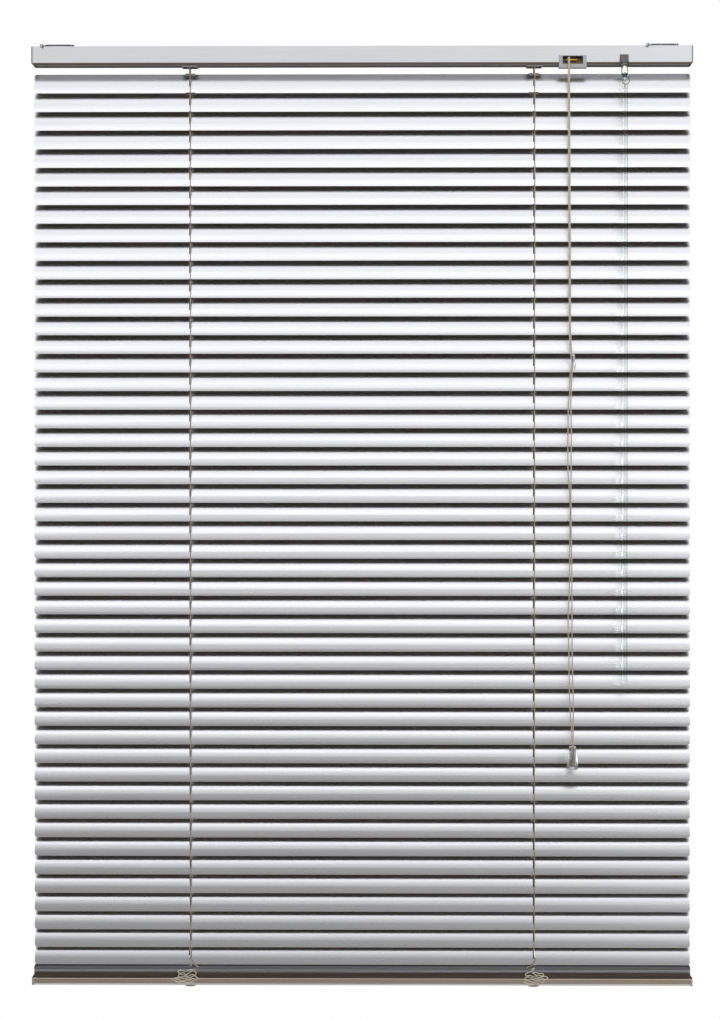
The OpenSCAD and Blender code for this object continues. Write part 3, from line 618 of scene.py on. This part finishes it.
for side, tag in ((-1, "left"), (1, "right")):
    x = side * LADDER_X + STRING_X
    rng = random.Random(11 + side)
    (ax, az), drawn = TANGLES[side]
    # Front string
    run = []
    for i, z in enumerate(SLAT_Z[:-2]):
        shift = rng.uniform(-0.2, 0.2)
        slip = rng.uniform(-1, 1) if i else 0
        run.append((x + shift, FRONT[0], z + FRONT[1] + slip))
    run += [(ax + px, FRONT[0] - 0.2, az - pz) for px, pz in drawn[:HANG + 1]]
    front = string_piece(f"ladder_front_{tag}", run, "ladder_front_cords")
    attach(front, "ladder_front")
    lead = [(side * LADDER_X, -7.3, ROD_Z), (side * LADDER_X, -7.3, -27.6), (x - 0.3, -7.0, -32),
            run[0]]
    piece = string_piece(f"ladder_front_lead_{tag}", lead, "ladder_front_cords")
    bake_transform(piece)
    # Slack of the ladder, which bunches in front of the pile and the rail
    deep = []
    cut = SLACK - HANG
    for k, (px, pz) in enumerate(drawn[HANG:]):
        near = min(1, k / cut)
        y = FRONT[0] - 0.2 + (FACE_Y - 2.4 - FRONT[0] + 0.2) * near + 1.1 * math.sin(1.9 * k) * near
        deep.append((ax + px, y, az - pz))
    piece = string_piece(f"ladder_front_tail_{tag}", deep[:cut + 1], "ladder_front_cords", step=1)
    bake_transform(piece)
    deep.append((side * LADDER_X + 1, FACE_Y - 0.9, RAIL_Z + 1.4))
    bunch = string_piece(f"ladder_slack_{tag}", deep[cut:], "ladder_front_cords", step=0.8)
    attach(bunch, "root")
    # Rear string
    run = [(x + rng.uniform(-0.2, 0.2), REAR[0], z + REAR[1]) for z in SLAT_Z]
    rear = string_piece(f"ladder_rear_{tag}", run, "ladder_rear_cords")
    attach(rear, "ladder_rear")
    lead = [(side * LADDER_X, 7.3, ROD_Z), (side * LADDER_X, 7.3, -25), (x - 0.3, 7.2, -29), run[0]]
    piece = string_piece(f"ladder_rear_lead_{tag}", lead, "ladder_rear_cords")
    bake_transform(piece)
    tail = [run[-1], (x, 8.6, LAST_Z - 2), (x + 0.4, 12.4, PILE_TOP + 2.5), (x + 0.6, 13.7, PILE_TOP - 2),
            (x - 0.4, 13.8, RAIL_Z + 12), (x, 13.6, RAIL_Z + 3)]
    piece = string_piece(f"ladder_rear_tail_{tag}", tail, "ladder_rear_cords")
    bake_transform(piece)

# Floor, light and background

bm = bmesh.new()
FLOOR_Z = BOTTOM_LOW.z - 0.25
bmesh.ops.create_grid(bm, x_segments=24, y_segments=24, size=2.4)
bmesh.ops.translate(bm, verts=bm.verts, vec=(0, 0, FLOOR_Z))
floor = link("floor", bm, smooth=False)
s = Shader("pale_floor", Roughness=0.7)
grain = s.noise(s.coords(), 40.0, 4.0)
s.to("Base Color", s.mix(grain, srgb(238, 238, 238), srgb(230, 230, 231)))
s.bump(grain, 0.03, 0.001)
flat = s.coords(scale=(1, 1, 0))
reach = s.add("ShaderNodeVectorMath", {"Vector": flat}, operation="LENGTH").outputs["Value"]
seen = s.add("ShaderNodeLightPath").outputs["Is Camera Ray"]
white = s.add("ShaderNodeEmission", in_Color=(1, 1, 1, 1), in_Strength=1.0)
fade = s.math("MULTIPLY", s.ramp(reach, 0.3, 0.9, 0.0, 1.0), seen)
blend = s.add("ShaderNodeMixShader", {"Fac": fade})
s.tree.links.new(s.principled.outputs["BSDF"], blend.inputs[1])
s.tree.links.new(white.outputs["Emission"], blend.inputs[2])
s.tree.links.new(blend.outputs["Shader"], s.tree.nodes["Material Output"].inputs["Surface"])
floor.data.materials.append(s.material)


def panel(name, centre, target, size_x, size_y, radiance):
    """An area lamp that the camera doesn't see, whose radiance doesn't depend on its size."""
    light = bpy.data.lights.new(name, "AREA")
    light.shape = "RECTANGLE"
    light.size, light.size_y = size_x, size_y
    light.energy = radiance * math.pi * size_x * size_y
    obj = bpy.data.objects.new(name, light)
    obj.location = centre
    obj.rotation_euler = (Vector(target) - Vector(centre)).to_track_quat("-Z", "Y").to_euler()
    obj.visible_camera = False
    bpy.context.scene.collection.objects.link(obj)


panel("overhead", (0, -0.435, 0.6), (0, -0.0375, 0.2964), size_x=3.6, size_y=1.762, radiance=0.52)
panel("front_card", (0, -0.97, -0.05), (0, 0, -0.05), size_x=3.6, size_y=1.0, radiance=0.28)
panel("key", (2.0, -2.6, 0.2), (0, 0, -0.5), size_x=1.1, size_y=1.1, radiance=5.5)

# The room in the gloss: brown and dark low down, pale overhead, and dark straight behind the blind. The
# camera sees white instead, and so do rays that pass through clear plastic to the back.

world = bpy.data.worlds.new("studio")
bpy.context.scene.world = world
world.use_nodes = True
tree = world.node_tree
tree.nodes.clear()


def node(kind, **values):
    made = tree.nodes.new(kind)
    for key, value in values.items():
        setattr(made, key, value)
    return made


def wire(source, target):
    tree.links.new(source, target)


def maths(operation, a, b=0.0):
    made = node("ShaderNodeMath", operation=operation)
    for socket, value in enumerate((a, b)):
        if isinstance(value, (int, float)):
            made.inputs[socket].default_value = value
        else:
            wire(value, made.inputs[socket])
    return made.outputs[0]


def steps(value, stops):
    made = node("ShaderNodeValToRGB")
    ramp = made.color_ramp
    while len(ramp.elements) < len(stops):
        ramp.elements.new(0.5)
    for element, (place, level) in zip(ramp.elements, stops):
        element.position = place
        element.color = (*level, 1) if isinstance(level, tuple) else (level, level, level, 1)
    wire(value, made.inputs["Fac"])
    return made.outputs["Color"]


direction = node("ShaderNodeTexCoord").outputs["Generated"]
split = node("ShaderNodeSeparateXYZ")
wire(direction, split.inputs["Vector"])
height = maths("MULTIPLY_ADD", split.outputs["Z"], 0.5)
height.node.inputs[2].default_value = 0.5
room = steps(height, [(0.30, (0.07, 0.055, 0.04)), (0.42, (0.22, 0.19, 0.15)), (0.50, (0.285, 0.274, 0.25)),
                      (0.60, 0.29), (0.80, 0.32), (0.90, 0.45)])
behind = steps(split.outputs["Y"], [(0.0, 0.0), (0.1, 1.0)])
straight = steps(maths("ABSOLUTE", split.outputs["X"]), [(0.35, 1.0), (0.7, 0.0)])
dark = maths("MULTIPLY", behind, straight)
mixer = node("ShaderNodeMix", data_type="RGBA")
wire(dark, mixer.inputs["Factor"])
wire(room, mixer.inputs[6])
mixer.inputs[7].default_value = (0.012, 0.009, 0.006, 1)
path_node = node("ShaderNodeLightPath")
through = maths("MULTIPLY", path_node.outputs["Is Transmission Ray"], behind)
lit = maths("MAXIMUM", path_node.outputs["Is Camera Ray"], through)
final = node("ShaderNodeMix", data_type="RGBA")
wire(lit, final.inputs["Factor"])
wire(mixer.outputs[2], final.inputs[6])
final.inputs[7].default_value = (1, 1, 1, 1)
background = node("ShaderNodeBackground")
wire(final.outputs[2], background.inputs["Color"])
output = node("ShaderNodeOutputWorld")
wire(background.outputs["Background"], output.inputs["Surface"])
